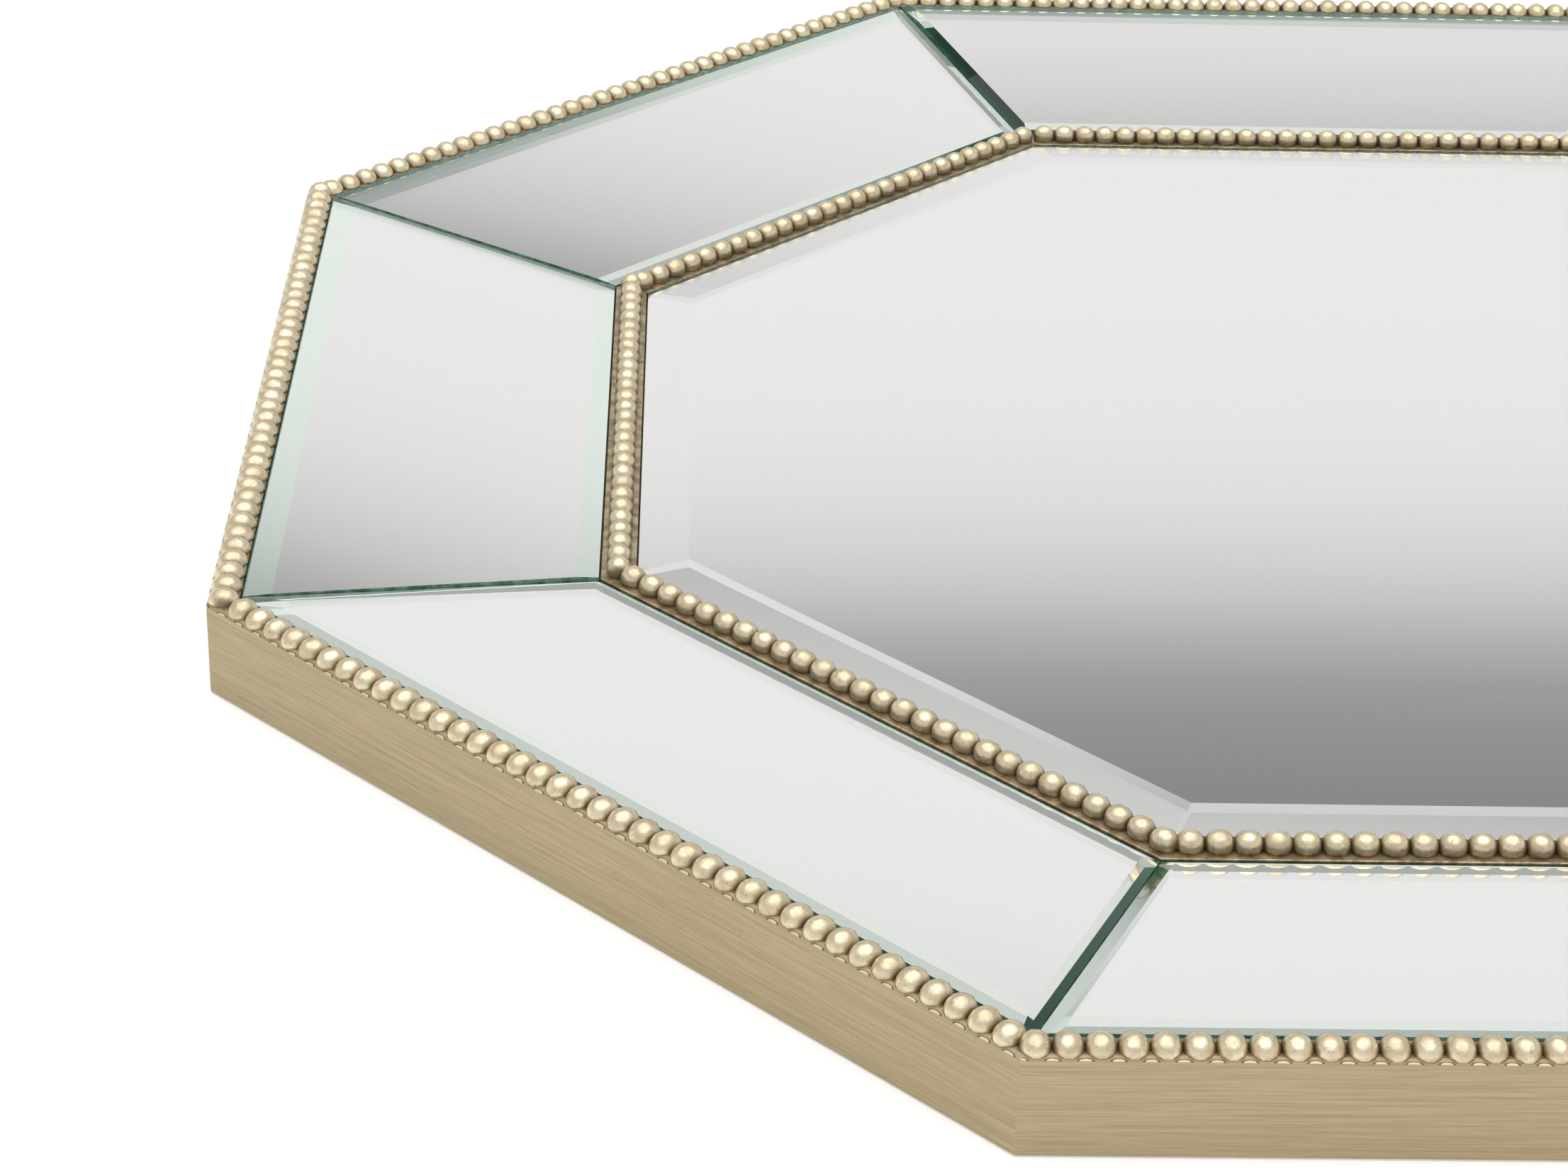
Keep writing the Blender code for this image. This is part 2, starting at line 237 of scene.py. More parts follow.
def leaf_mottle() -> bpy.types.NodeTree:
    """Make the group for uneven metal leaf or paint: soft patches, and specks where the ground shows.

    Returns:
        A group from a place to Patches, Specks and a Height, each 0 to 1.
    """
    patch_scale, grain_scale, speck_scale = 420.0, 1500.0, 2300.0   # per metre
    speck_level = 0.78                  # noise over this level is a speck, where the share is 0
    speck_reach = 0.3                   # and how far a share of 1 lowers it
    speck_contrast, speck_dent = 14.0, 0.5
    bench, given, result = new_group(
        "Leaf Mottle", "ShaderNodeTree",
        {"Place": ("NodeSocketVector", None), "Speck Share": ("NodeSocketFloat", 0.3)},
        {"Patches": "NodeSocketFloat", "Specks": "NodeSocketFloat", "Height": "NodeSocketFloat"})
    place = given.outputs["Place"]
    patches = bench.noise(place, patch_scale, detail=3.0, roughness=0.6)
    bench.feed(result.inputs["Patches"], bench.fade(patches, 0.35, 0.65))
    specks = bench.noise(place, speck_scale, detail=2.0, roughness=0.7)
    lowered = bench.math("MULTIPLY", given.outputs["Speck Share"], speck_reach)
    above = bench.math("SUBTRACT", specks, bench.math("SUBTRACT", speck_level, lowered))
    bench.feed(result.inputs["Specks"], bench.math("MULTIPLY", above, speck_contrast, clamp=True))
    grain = bench.noise(place, grain_scale, detail=3.0, roughness=0.6)
    dent = bench.math("MULTIPLY", above, speck_dent, clamp=True)
    bench.feed(result.inputs["Height"], bench.math("SUBTRACT", grain, dent))
    return bench.tree


def painted_bead_shade() -> bpy.types.NodeTree:
    """Make the group for the painted shade between beads and towards their bottoms.

    Returns:
        A group from a place on the moulding to a Mask, 0 to 1.
    """
    crevice_end = 0.52                  # in bead pitches from a bead's middle, as Crevice Start is
    waver = 0.16                        # how far the crevices' edges wander, in the same unit
    bench, given, result = new_group(
        "Painted Bead Shade", "ShaderNodeTree",
        {"Place": ("NodeSocketVector", None), "Crevice Start": ("NodeSocketFloat", 0.34),
         "Low Start": ("NodeSocketFloat", 0.2 * MM), "Low Depth": ("NodeSocketFloat", 1.6 * MM)},
        {"Mask": "NodeSocketFloat"})
    parts = bench.separated(given.outputs["Place"])
    uneven = bench.math("SUBTRACT", bench.noise(given.outputs["Place"], 3.0, detail=3.0), 0.5)
    reach = bench.math("ADD", bench.from_nearest(parts["X"]), bench.math("MULTIPLY", uneven, waver))
    crevice = bench.fade(reach, given.outputs["Crevice Start"], crevice_end)
    below = bench.math("SUBTRACT", given.outputs["Low Start"], parts["Z"])
    low = bench.fade(below, 0.0, given.outputs["Low Depth"])
    # Painted shade: the mask is high between the beads and towards their bottoms, where shade falls.
    bench.feed(result.inputs["Mask"], bench.math("MAXIMUM", crevice, low))
    return bench.tree


def painted_glint_scallops() -> bpy.types.NodeTree:
    """Make the group for a painted highlight on the edge of the rail, in an arch between each two beads, with
    painted shade in a rim round it.

    Returns:
        A group from a place on the moulding to a Glint mask for the painted highlight and a Rim Shade mask for
        the painted shade round it, both 0 to 1.
    """
    glint_fade, rim_shade_fade = (0.85, 0.98), (1.2, 1.45)    # in radii of an arch
    waver = 0.5                         # how far the edges wander, in the same unit
    bench, given, result = new_group(
        "Painted Glint Scallops", "ShaderNodeTree",
        {"Place": ("NodeSocketVector", None), "Width": ("NodeSocketFloat", 0.21),
         "Edge": ("NodeSocketFloat", 2.3 * MM), "Depth": ("NodeSocketFloat", 0.42 * MM),
         "Floor": ("NodeSocketFloat", -0.42 * MM)},
        {"Glint": "NodeSocketFloat", "Rim Shade": "NodeSocketFloat"})
    parts = bench.separated(given.outputs["Place"])
    from_gap = bench.math("SUBTRACT", 0.5, bench.from_nearest(parts["X"]))
    along = bench.math("DIVIDE", from_gap, given.outputs["Width"])
    from_edge = bench.math("SUBTRACT", given.outputs["Edge"], parts["Y"])
    inwards = bench.math("DIVIDE", from_edge, given.outputs["Depth"])
    squares = bench.math("ADD", bench.math("MULTIPLY", along, along), bench.math("MULTIPLY", inwards, inwards))
    uneven = bench.math("SUBTRACT", bench.noise(given.outputs["Place"], 2.5, detail=2.0), 0.5)
    reach = bench.math("ADD", bench.math("SQRT", squares), bench.math("MULTIPLY", uneven, waver))
    above = bench.math("GREATER_THAN", parts["Z"], given.outputs["Floor"])
    for label, (inside, outside) in (("Glint", glint_fade), ("Rim Shade", rim_shade_fade)):
        arch = bench.fade(reach, inside, outside, 1.0, 0.0)
        bench.feed(result.inputs[label], bench.math("MULTIPLY", arch, above))
    return bench.tree


@dataclass(frozen=True)
class Effects:
    """The shader node groups that more than one material uses."""

    streaks: bpy.types.NodeTree
    mottle: bpy.types.NodeTree
    # painted_shade paints shade between and under the beads; painted_glints paints a highlight and a rim of
    # shade on the rail's edge.
    painted_shade: bpy.types.NodeTree
    painted_glints: bpy.types.NodeTree

    @classmethod
    def make(cls) -> "Effects":
        """Build every group once."""
        return cls(brushed_streaks(), leaf_mottle(), painted_bead_shade(), painted_glint_scallops())


# ---- finishes -----------------------------------------------------------------------------------------------
@dataclass(frozen=True)
class Finish:
    """A material to make: its name, and how a plain surface of it looks."""

    name: str
    colour: Colour
    roughness: float = 0.5
    metallic: float = 0.0

    def start(self) -> tuple[bpy.types.Material, NodeBench, bpy.types.Node]:
        """Make the material with its plain values.

        Returns:
            The material, its bench and its Principled node.
        """
        material = bpy.data.materials.new(self.name)
        material.use_nodes = True
        shader = material.node_tree.nodes["Principled BSDF"]
        shader.inputs["Base Color"].default_value = (*self.colour, 1.0)
        shader.inputs["Roughness"].default_value = self.roughness
        shader.inputs["Metallic"].default_value = self.metallic
        return material, NodeBench(material.node_tree), shader

    @staticmethod
    def rail_place(bench: NodeBench) -> bpy.types.NodeSocket:
        """Return the place on the moulding, from the mesh's attribute."""
        return bench.node("ShaderNodeAttribute", attribute_name=RAIL_PLACE).outputs["Vector"]

    @staticmethod
    def object_place(bench: NodeBench) -> bpy.types.NodeSocket:
        """Return the place in the tray's own coordinates."""
        return bench.node("ShaderNodeTexCoord").outputs["Object"]

    @staticmethod
    def bump(bench: NodeBench, shader: bpy.types.Node, height: bpy.types.NodeSocket, depth: float) -> None:
        """Give the shader a bump of a depth in metres from a height of 0 to 1."""
        made = bench.node("ShaderNodeBump")
        made.inputs["Strength"].default_value = 1.0
        made.inputs["Distance"].default_value = depth
        bench.feed(made.inputs["Height"], height)
        bench.feed(shader.inputs["Normal"], made.outputs["Normal"])


@dataclass(frozen=True)
class BrushedPaint(Finish):
    """Champagne metallic paint, brushed along the moulding, on the plain faces of the rails, with a painted
    highlight in an arch between each two beads and a rim of painted shade round it.
    """

    dark: Colour = (0.31, 0.25, 0.142)
    pale: Colour = (0.465, 0.38, 0.235)
    fleck: Colour = (0.25, 0.165, 0.085)
    # The next two colours are painted light: a painted highlight between each two beads, and the painted shade
    # of the rim round it.
    rubbed_and_painted_glint: Colour = (0.62, 0.54, 0.4)
    rim: Colour = (0.16, 0.11, 0.055)
    fleck_share: float = 0.55
    speck_share: float = 0.45
    plain_share: float = 0.4            # of the plain colour, over the streaks
    streak_length: float = 3.5          # in bead pitches
    streak_width: float = 0.22 * MM
    streak_depth: float = 0.02 * MM
    gloss_range: tuple[float, float] = (0.5, 0.38)      # roughness of the dark streaks and of the pale ones

    def material(self, effects: Effects) -> bpy.types.Material:
        """Make the material."""
        made, bench, shader = self.start()
        place = self.rail_place(bench)
        streaks = bench.group(effects.streaks, Place=place, Length=self.streak_length, Width=self.streak_width)
        mottle = bench.group(effects.mottle, Place=self.object_place(bench), Speck_Share=self.speck_share)
        streaked = bench.mixed(streaks.outputs["Mask"], self.dark, self.pale)
        softened = bench.mixed(self.plain_share, streaked, self.colour)
        flecks = bench.math("MULTIPLY", mottle.outputs["Specks"], self.fleck_share)
        flecked = bench.mixed(flecks, softened, self.fleck)
        # Painted highlight: the edge between each two beads is mixed to a pale colour in an arch, with a dark
        # rim of painted shade round it.
        painted_glints = bench.group(effects.painted_glints, Place=place)
        rim_shaded = bench.mixed(painted_glints.outputs["Rim Shade"], flecked, self.rim)
        bench.feed(shader.inputs["Base Color"], bench.mixed(painted_glints.outputs["Glint"], rim_shaded, self.rubbed_and_painted_glint))
        gloss = bench.fade(streaks.outputs["Mask"], 0.0, 1.0, *self.gloss_range)
        bench.feed(shader.inputs["Roughness"], gloss)
        self.bump(bench, shader, streaks.outputs["Height"], self.streak_depth)
        return made


@dataclass(frozen=True)
class AntiqueLeaf(Finish):
    """Champagne leaf over a bole, rubbed bright on the beads, with painted shade between them and towards
    their bottoms.
    """

    bright: Colour = (0.82, 0.71, 0.51)
    # Colour of the painted shade between the beads and towards their bottoms.
    painted_shade: Colour = (0.17, 0.13, 0.062)
    fleck: Colour = (0.22, 0.13, 0.06)
    fleck_share: float = 0.55
    speck_share: float = 0.5
    crevice_start: float = 0.32         # in bead pitches from a bead's middle
    low_start: float = 1.1 * MM         # above the bead's middle, where the painted shade starts
    low_depth: float = 2.6 * MM
    painted_shade_strength: float = 0.85
    dulled: float = 0.06                # roughness added where the leaf is plain
    polished: float = 0.05              # and taken off where it is rubbed bright
    painted_shade_roughness: float = 0.15        # and added under the painted shade
    grain_depth: float = 0.07 * MM

    def material(self, effects: Effects) -> bpy.types.Material:
        """Make the material."""
        made, bench, shader = self.start()
        place = self.rail_place(bench)
        mottle = bench.group(effects.mottle, Place=self.object_place(bench), Speck_Share=self.speck_share)
        # Painted shade: the leaf is mixed towards a dark colour between the beads and towards their bottoms.
        painted_shade = bench.group(effects.painted_shade, Place=place, Crevice_Start=self.crevice_start,
                           Low_Start=self.low_start, Low_Depth=self.low_depth)
        leaf = bench.mixed(mottle.outputs["Patches"], self.colour, self.bright)
        flecks = bench.math("MULTIPLY", mottle.outputs["Specks"], self.fleck_share)
        flecked = bench.mixed(flecks, leaf, self.fleck)
        share = bench.math("MULTIPLY", painted_shade.outputs["Mask"], self.painted_shade_strength)
        bench.feed(shader.inputs["Base Color"], bench.mixed(share, flecked, self.painted_shade))
        rubbed_and_painted_glint = bench.fade(mottle.outputs["Patches"], 0.0, 1.0, self.roughness + self.dulled,
                            self.roughness - self.polished)
        worn = bench.math("ADD", rubbed_and_painted_glint, bench.math("MULTIPLY", painted_shade.outputs["Mask"], self.painted_shade_roughness))
        bench.feed(shader.inputs["Roughness"], worn)
        self.bump(bench, shader, mottle.outputs["Height"], self.grain_depth)
        return made


@dataclass(frozen=True)
class FloatGlass(Finish):
    """Float glass, clear or faintly green, with a faint painted glow that stands for light caught in the
    glass.
    """

    ior: float = 1.52
    glow: Colour = (0.0, 0.0, 0.0)

    def material(self, effects: Effects) -> bpy.types.Material:
        """Make the material."""
        made, _, shader = self.start()
        shader.inputs["Transmission Weight"].default_value = 1.0
        shader.inputs["IOR"].default_value = self.ior
        shader.inputs["Emission Color"].default_value = (*self.glow, 1.0)
        shader.inputs["Emission Strength"].default_value = 1.0
        return made


@dataclass(frozen=True)
class GroundEdge(Finish):
    """The ground edge of a pane, as seen from inside the glass."""

    pale: Colour = (0.2, 0.36, 0.28)
    speck_share: float = 0.5

    def material(self, effects: Effects) -> bpy.types.Material:
        """Make the material."""
        made, bench, shader = self.start()
        mottle = bench.group(effects.mottle, Place=self.object_place(bench), Speck_Share=self.speck_share)
        bench.feed(shader.inputs["Base Color"], bench.mixed(mottle.outputs["Patches"], self.colour, self.pale))
        return made


@dataclass(frozen=True)
class Silvering(Finish):
    """The silvered back of a mirror."""

    def material(self, effects: Effects) -> bpy.types.Material:
        """Make the material."""
        return self.start()[0]


@dataclass(frozen=True)
class RawWood(Finish):
    """Unfinished fibreboard, or planed wood whose grain lies level."""

    dark: Colour = (0.25, 0.16, 0.09)
    grain: tuple[float, float, float] = (600.0, 600.0, 600.0)       # per metre along each axis
    grain_depth: float = 0.1 * MM

    def material(self, effects: Effects) -> bpy.types.Material:
        """Make the material."""
        made, bench, shader = self.start()
        place = bench.vector("MULTIPLY", self.object_place(bench), self.grain)
        fibres = bench.noise(place, 1.0, detail=4.0, roughness=0.7)
        colour = bench.mixed(bench.fade(fibres, 0.3, 0.7), self.dark, self.colour)
        bench.feed(shader.inputs["Base Color"], colour)
        self.bump(bench, shader, fibres, self.grain_depth)
        return made


@dataclass(frozen=True)
class NeedledFelt(Finish):
    """Dark felt with short tangled fibres."""

    pale: Colour = (0.13, 0.09, 0.07)
    fibre_scale: float = 1600.0         # per metre
    tuft_scale: float = 160.0
    nap_depth: float = 0.3 * MM

    def material(self, effects: Effects) -> bpy.types.Material:
        """Make the material."""
        made, bench, shader = self.start()
        place = self.object_place(bench)
        fibres = bench.noise(place, self.fibre_scale, detail=5.0, roughness=0.75)
        tufts = bench.noise(place, self.tuft_scale, detail=3.0)
        lit = bench.math("MULTIPLY", bench.fade(fibres, 0.4, 0.7), bench.fade(tufts, 0.2, 0.8, 0.5, 1.0))
        bench.feed(shader.inputs["Base Color"], bench.mixed(lit, self.colour, self.pale))
        shader.inputs["Sheen Weight"].default_value = 0.25
        self.bump(bench, shader, fibres, self.nap_depth)
        return made


@dataclass(frozen=True)
class PlainSurface(Finish):
    """Moulded, plated or foamed parts with a fine grain in their gloss."""

    grain_scale: float = 900.0          # per metre
    grain_depth: float = 0.03 * MM
    polished_share: float = 0.8         # of the roughness, where the grain is low

    def material(self, effects: Effects) -> bpy.types.Material:
        """Make the material."""
        made, bench, shader = self.start()
        grain = bench.noise(self.object_place(bench), self.grain_scale, detail=3.0)
        gloss = bench.fade(grain, 0.3, 0.7, self.roughness * self.polished_share, self.roughness)
        bench.feed(shader.inputs["Roughness"], gloss)
        self.bump(bench, shader, grain, self.grain_depth)
        return made


@dataclass
class Palette:
    """Every material of the tray, made once."""

    effects: Effects
    finishes: dict[str, Finish] = field(default_factory=lambda: {
        "paint": BrushedPaint("champagne_paint", (0.405, 0.33, 0.198), 0.42, 0.7),
        "leaf": AntiqueLeaf("champagne_antique_leaf", (0.62, 0.52, 0.345), 0.34, 0.93),
        # The ledge leaf is a darker copy of the bead leaf: painted shade on the strip's sides and the rails'
        # inner faces, which darkens the ledges with them.
        "ledge": AntiqueLeaf("champagne_ledge_leaf_shaded", (0.27, 0.21, 0.12), 0.42, 0.85, bright=(0.55, 0.45, 0.3),
                             fleck_share=0.9, crevice_start=0.42, low_start=-20.0 * MM, painted_shade_strength=0.25),
        "glass": FloatGlass("clear_float_glass", (1.0, 1.0, 0.99), 0.0),
        # The bevels' faint green glow is painted light, standing for light caught in the glass.
        "bevel": FloatGlass("bevelled_glass", (0.93, 0.965, 0.935), 0.0, glow=(0.003, 0.025, 0.014)),
        "edge": GroundEdge("ground_glass_edge", (0.06, 0.15, 0.1), 0.6),
        "silver": Silvering("silvering", (0.96, 0.955, 0.945), 0.0, 1.0),
        "fibreboard": RawWood("fibreboard_raw", (0.42, 0.29, 0.17), 0.85),
        "hardwood": RawWood("hardwood_raw", (0.55, 0.38, 0.22), 0.6, dark=(0.4, 0.26, 0.14),
                            grain=(150.0, 150.0, 900.0)),
        "felt": NeedledFelt("felt_brown", (0.05, 0.032, 0.024), 1.0),
        "foam": PlainSurface("foam_grey", (0.06, 0.06, 0.065), 0.95, grain_depth=0.2 * MM),
        "zinc": PlainSurface("zinc_plate", (0.66, 0.64, 0.6), 0.35, 1.0),
    })

    def __post_init__(self) -> None:
        """Make the materials."""
        self.made = {name: finish.material(self.effects) for name, finish in self.finishes.items()}

    def __getitem__(self, name: str) -> bpy.types.Material:
        """Return a material by its short name."""
        return self.made[name]


# ---- mesh tools ---------------------------------------------------------------------------------------------
def rounded(outline: list[Point], radii: list[float], steps: int = 3) -> list[Point]:
    """Round the corners of a closed outline, with a short flat run kept beside each arc.

    Args:
        outline: Corners as (apothem, height), in order.
        radii: One radius for each corner; 0 keeps the corner sharp.
        steps: Segments in each arc.

    Returns:
        The rounded outline.
    """
    result: list[Point] = []
    count = len(outline)
    for index, (corner, radius) in enumerate(zip(outline, radii)):
        here = Vector(corner)
        if not radius:
            result.append(tuple(here))
            continue
        back = (Vector(outline[index - 1]) - here).normalized()
        ahead = (Vector(outline[(index + 1) % count]) - here).normalized()
        half = back.angle(ahead) / 2
        middle = here + (back + ahead).normalized() * (radius / sin(half))
        start = here + back * (radius / tan(half))
        end = here + ahead * (radius / tan(half))
        result.append(tuple(start + back * (radius / 2)))
        for step in range(steps + 1):
            share = step / steps
            spoke = (start - middle).lerp(end - middle, share)
            result.append(tuple(middle + spoke.normalized() * radius))
        result.append(tuple(end + ahead * (radius / 2)))
    return result


def mesh_object(name: str, bm: bmesh.types.BMesh, turn: float, materials: list[bpy.types.Material],
                sharp_angle: float = radians(32)) -> bpy.types.Object:
    """Turn a bmesh that was built on side 1 into an object on its own side.

    Args:
        name: The object's name.
        bm: The bmesh, which is freed.
        turn: Angle about Z from side 1.
        materials: The object's material slots.
        sharp_angle: Edges sharper than this are shaded sharp.

    Returns:
        The object, at the origin, with its place in its mesh.
    """
    bmesh.ops.remove_doubles(bm, verts=bm.verts, dist=MERGE_DISTANCE)
    bmesh.ops.recalc_face_normals(bm, faces=bm.faces)
    bmesh.ops.transform(bm, matrix=Matrix.Rotation(turn, 4, "Z"), verts=bm.verts)
    mesh = bpy.data.meshes.new(name)
    bm.to_mesh(mesh)
    bm.free()
    for material in materials:
        mesh.materials.append(material)
    mesh.shade_smooth()
    mesh.set_sharp_from_angle(angle=sharp_angle)
    piece = bpy.data.objects.new(name, mesh)
    bpy.context.scene.collection.objects.link(piece)
    return piece


def settle(piece: bpy.types.Object, slot: Slot, *replaced: str) -> bpy.types.Object:
    """Ride a piece on the tray's body, hide and name the CAD nodes that it stands for, and report it."""
    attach(piece, BODY)
    if replaced:
        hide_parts(*replaced)
    stands_for = ", ".join(replaced) or "no node"
    log.info("%s: %d faces, stands for %s", piece.name, len(piece.data.polygons), stands_for)
    return piece


# ---- beads --------------------------------------------------------------------------------------------------
@dataclass
class BeadRow:
    """Geometry Nodes that make the row of beads along one side, from mitre to mitre.

    Attributes:
        pitch: Distance between beads.
        radius: Radius of a bead.
        spread: Share by which a bead's size varies.
        segments: Faces round a bead.
        rings: Faces along a bead.
    """

    pitch: float = 4.8 * MM
    radius: float = 2.4 * MM
    spread: float = 0.03
    segments: int = 14
    rings: int = 7

    def __post_init__(self) -> None:
        """Build the tree once for all rows."""
        self.tree = self.make_tree()

    def make_tree(self) -> bpy.types.NodeTree:
        """Build the node tree.

        Returns:
            A tree that puts beads along side 1 and turns the row to its own side.
        """
        bench, given, result = new_group(
            "Bead Row", "GeometryNodeTree",
            {"Pitches": ("NodeSocketInt", 39), "Pitch": ("NodeSocketFloat", self.pitch),
             "First Bead": ("NodeSocketFloat", 0.0), "Bead Line": ("NodeSocketFloat", 0.2),
             "Height": ("NodeSocketFloat", 0.0), "Inset": ("NodeSocketFloat", 0.0),
             "Shape": ("NodeSocketVector", (1.0, 1.0, 1.0)), "Radius": ("NodeSocketFloat", self.radius),
             "Spread": ("NodeSocketFloat", self.spread), "Turn": ("NodeSocketFloat", 0.0),
             "Seed": ("NodeSocketInt", 0), "Finish": ("NodeSocketMaterial", None)},
            {"Geometry": "NodeSocketGeometry"})
        value = given.outputs
        half_length = bench.math("MULTIPLY", value["Bead Line"], SLOPE)
        from_corner = bench.math("MULTIPLY", value["First Bead"], value["Pitch"])
        first = bench.math("SUBTRACT", from_corner, half_length)
        row = self.row_of_points(bench, value, first)
        beads = self.scattered_beads(bench, value, row)
        placed = self.with_places(bench, value, beads, first)
        turned = bench.node("GeometryNodeTransform")
        bench.feed(turned.inputs["Geometry"], placed)
        bench.feed(turned.inputs["Rotation"], bench.combined(0.0, 0.0, value["Turn"]))
        smooth = bench.node("GeometryNodeSetShadeSmooth")
        bench.feed(smooth.inputs["Geometry"], turned.outputs[0])
        real = bench.node("GeometryNodeRealizeInstances")
        bench.feed(real.inputs["Geometry"], smooth.outputs[0])
        dressed = bench.node("GeometryNodeSetMaterial")
        bench.feed(dressed.inputs["Geometry"], real.outputs[0])
        bench.feed(dressed.inputs["Material"], value["Finish"])
        bench.feed(result.inputs["Geometry"], dressed.outputs[0])
        return bench.tree

    def row_of_points(self, bench: NodeBench, value: bpy.types.bpy_prop_collection,
                      first: bpy.types.NodeSocket) -> bpy.types.NodeSocket:
        """Lay points along side 1 from the first bead to the last one before the mitre."""
        inwards = bench.math("SUBTRACT", value["Inset"], value["Bead Line"])
        start = bench.combined(first, inwards, value["Height"])
        line = bench.node("GeometryNodeMeshLine", mode="OFFSET")
        bench.feed(line.inputs["Count"], bench.math("ADD", value["Pitches"], 1.0))
        bench.feed(line.inputs["Start Location"], start)
        bench.feed(line.inputs["Offset"], bench.combined(value["Pitch"], 0.0, 0.0))
        parts = bench.separated(bench.node("GeometryNodeInputPosition").outputs[0])
        half_length = bench.math("MULTIPLY", value["Bead Line"], SLOPE)
        past = bench.math("GREATER_THAN", parts["X"], half_length)
        kept = bench.node("GeometryNodeDeleteGeometry", domain="POINT")
        bench.feed(kept.inputs["Geometry"], line.outputs[0])
        bench.feed(kept.inputs["Selection"], past)
        return kept.outputs[0]

    def scattered_beads(self, bench: NodeBench, value: bpy.types.bpy_prop_collection,
                        row: bpy.types.NodeSocket) -> bpy.types.NodeSocket:
        """Put a bead of its own size on each point, with its poles along the row."""
        ball = bench.node("GeometryNodeMeshUVSphere")
        ball.inputs["Segments"].default_value = self.segments
        ball.inputs["Rings"].default_value = self.rings
        bench.feed(ball.inputs["Radius"], value["Radius"])
        lying = bench.node("GeometryNodeTransform")
        lying.inputs["Rotation"].default_value = (0.0, pi / 2, 0.0)
        bench.feed(lying.inputs["Geometry"], ball.outputs["Mesh"])
        size = bench.node("FunctionNodeRandomValue", data_type="FLOAT_VECTOR")
        bench.feed(size.inputs["Seed"], value["Seed"])
        spread = bench.combined(value["Spread"], value["Spread"], value["Spread"])
        bench.feed(size.inputs["Min"], bench.vector("SUBTRACT", value["Shape"], spread))
        bench.feed(size.inputs["Max"], value["Shape"])
        copies = bench.node("GeometryNodeInstanceOnPoints")
        bench.feed(copies.inputs["Points"], row)
        bench.feed(copies.inputs["Instance"], lying.outputs[0])
        bench.feed(copies.inputs["Scale"], size.outputs["Value"])
        real = bench.node("GeometryNodeRealizeInstances")
        bench.feed(real.inputs["Geometry"], copies.outputs[0])
        return real.outputs[0]

    def with_places(self, bench: NodeBench, value: bpy.types.bpy_prop_collection, beads: bpy.types.NodeSocket,
                    first: bpy.types.NodeSocket) -> bpy.types.NodeSocket:
        """Store each point's place on the moulding."""
        parts = bench.separated(bench.node("GeometryNodeInputPosition").outputs[0])
        along = bench.math("DIVIDE", bench.math("SUBTRACT", parts["X"], first), value["Pitch"])
        outwards = bench.math("MULTIPLY", bench.math("ADD", parts["Y"], value["Bead Line"]), -1.0)
        upwards = bench.math("SUBTRACT", parts["Z"], value["Height"])
        stored = bench.node("GeometryNodeStoreNamedAttribute", data_type="FLOAT_VECTOR", domain="POINT")
        stored.inputs["Name"].default_value = RAIL_PLACE
        bench.feed(stored.inputs["Geometry"], beads)
        bench.feed(stored.inputs["Value"], bench.combined(along, outwards, upwards))
        return stored.outputs[0]

    def build(self, name: str, values: dict[str, object]) -> bpy.types.Object:
        """Run the tree for one row.

        Args:
            name: The new object's name.
            values: A value for each of the tree's inputs that differs from its default.

        Returns:
            An object with the row as a plain mesh.
        """
        source = bpy.data.objects.new(name + "_source", bpy.data.meshes.new(name + "_source"))
        bpy.context.scene.collection.objects.link(source)
        modifier = source.modifiers.new("beads", "NODES")
        modifier.node_group = self.tree
        sockets = {item.name: item.identifier for item in self.tree.interface.items_tree
                   if item.in_out == "INPUT"}
        for label, value in values.items():
            modifier[sockets[label]] = value
        bpy.context.view_layer.update()
        graph = bpy.context.evaluated_depsgraph_get()
        mesh = bpy.data.meshes.new_from_object(source.evaluated_get(graph))
        mesh.name = name
        bpy.data.objects.remove(source)
        piece = bpy.data.objects.new(name, mesh)
        bpy.context.scene.collection.objects.link(piece)
        return piece


